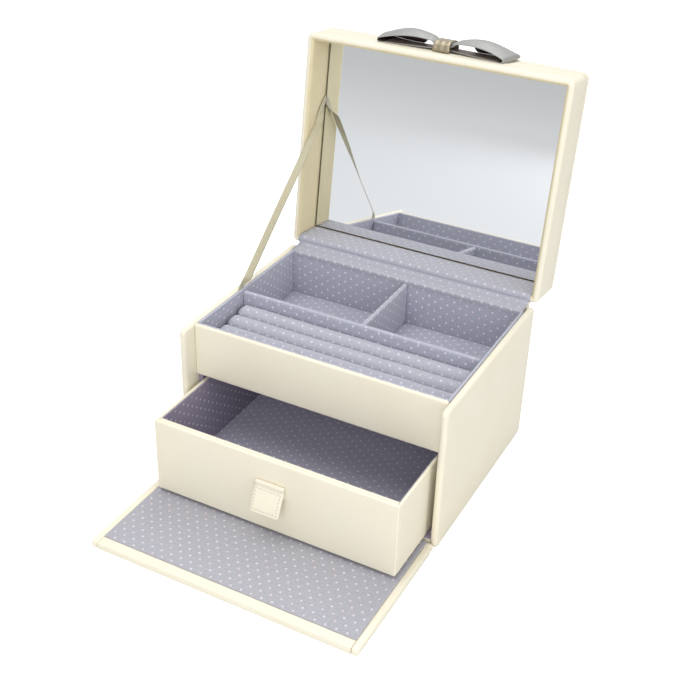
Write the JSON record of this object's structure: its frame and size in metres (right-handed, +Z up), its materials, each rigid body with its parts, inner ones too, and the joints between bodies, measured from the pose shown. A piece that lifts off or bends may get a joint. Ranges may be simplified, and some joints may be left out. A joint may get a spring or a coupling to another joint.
{
  "type": "vanity box with mirror",
  "caption": "Padded jewellery box with a mirror lid on a ribbon stay, a lined tray with ring rolls and dividers, a drawer with a pull tab and a fold-down front flap.",
  "frame": {"origin": "middle of the case's base, on the table", "axes": "+X right, +Y to the back, +Z up; the lid is stored open, the drawer pulled out and the flap lying flat in front"},
  "size_m": [0.202, 0.3226, 0.2792],
  "materials": {
    "leatherette": "satin grained cream leatherette",
    "board": "plain board",
    "dotted_fabric": "grey lavender fabric with small pale dots",
    "mirror_glass": "polished",
    "ribbon_cream": "satin ribbon",
    "satin": "pewter satin"
  },
  "bodies": {
    "case": {"side_panel_left": "leatherette", "side_panel_right": "leatherette", "back_panel": "leatherette", "base_panel": "leatherette", "bay_lining": "dotted_fabric", "bay_wall_left": "dotted_fabric", "bay_wall_right": "dotted_fabric", "tray_front_panel": "leatherette", "tray_floor": "board", "tray_floor_pad": "dotted_fabric", "hinge_rail": "board", "lining_left": "dotted_fabric", "lining_right": "dotted_fabric", "lining_front": "dotted_fabric", "lining_back": "dotted_fabric", "rim_cloth": "dotted_fabric", "long_divider": "dotted_fabric", "cross_divider": "dotted_fabric", "ring_rolls": "dotted_fabric"},
    "lid": {"lid_top_panel": "leatherette", "lid_wall_front": "leatherette", "lid_wall_back": "leatherette", "lid_wall_left": "leatherette", "lid_wall_right": "leatherette", "lid_hinge_cloth": "dotted_fabric", "mirror_plate": "mirror_glass", "mirror_backing": "board", "lid_spine": "leatherette", "ribbon_stay": "ribbon_cream", "bow_loop_left": "satin", "bow_loop_right": "satin", "bow_knot": "satin"},
    "flap": {"flap_board": "leatherette", "flap_lining": "dotted_fabric", "flap_hinge_strip": "leatherette"},
    "drawer": {"drawer_face": "leatherette", "drawer_box_front": "leatherette", "drawer_side_left": "leatherette", "drawer_side_right": "leatherette", "drawer_back": "leatherette", "drawer_bottom": "leatherette", "drawer_lining_front": "dotted_fabric", "drawer_lining_back": "dotted_fabric", "drawer_lining_left": "dotted_fabric", "drawer_lining_right": "dotted_fabric", "drawer_lining_floor": "dotted_fabric", "pull_tab": "leatherette"}
  },
  "joints": [
    {"name": "lid_hinge", "type": "hinge", "parent": "case", "child": "lid", "pos_m": [0, 0.078, 0.1106], "axis": [1, 0, 0], "range_deg": [0, 97.3], "deforming": ["lid_spine", "ribbon_stay"]},
    {"name": "drawer_slide", "type": "slide", "parent": "case", "child": "drawer", "axis": [0, 1, 0], "range_m": [-0.03, 0.056]},
    {"name": "flap_hinge", "type": "hinge", "parent": "case", "child": "flap", "pos_m": [0, -0.0808, 0.0025], "axis": [-1, 0, 0], "range_deg": [0, 1.5], "deforming": ["flap_hinge_strip"]}
  ]
}
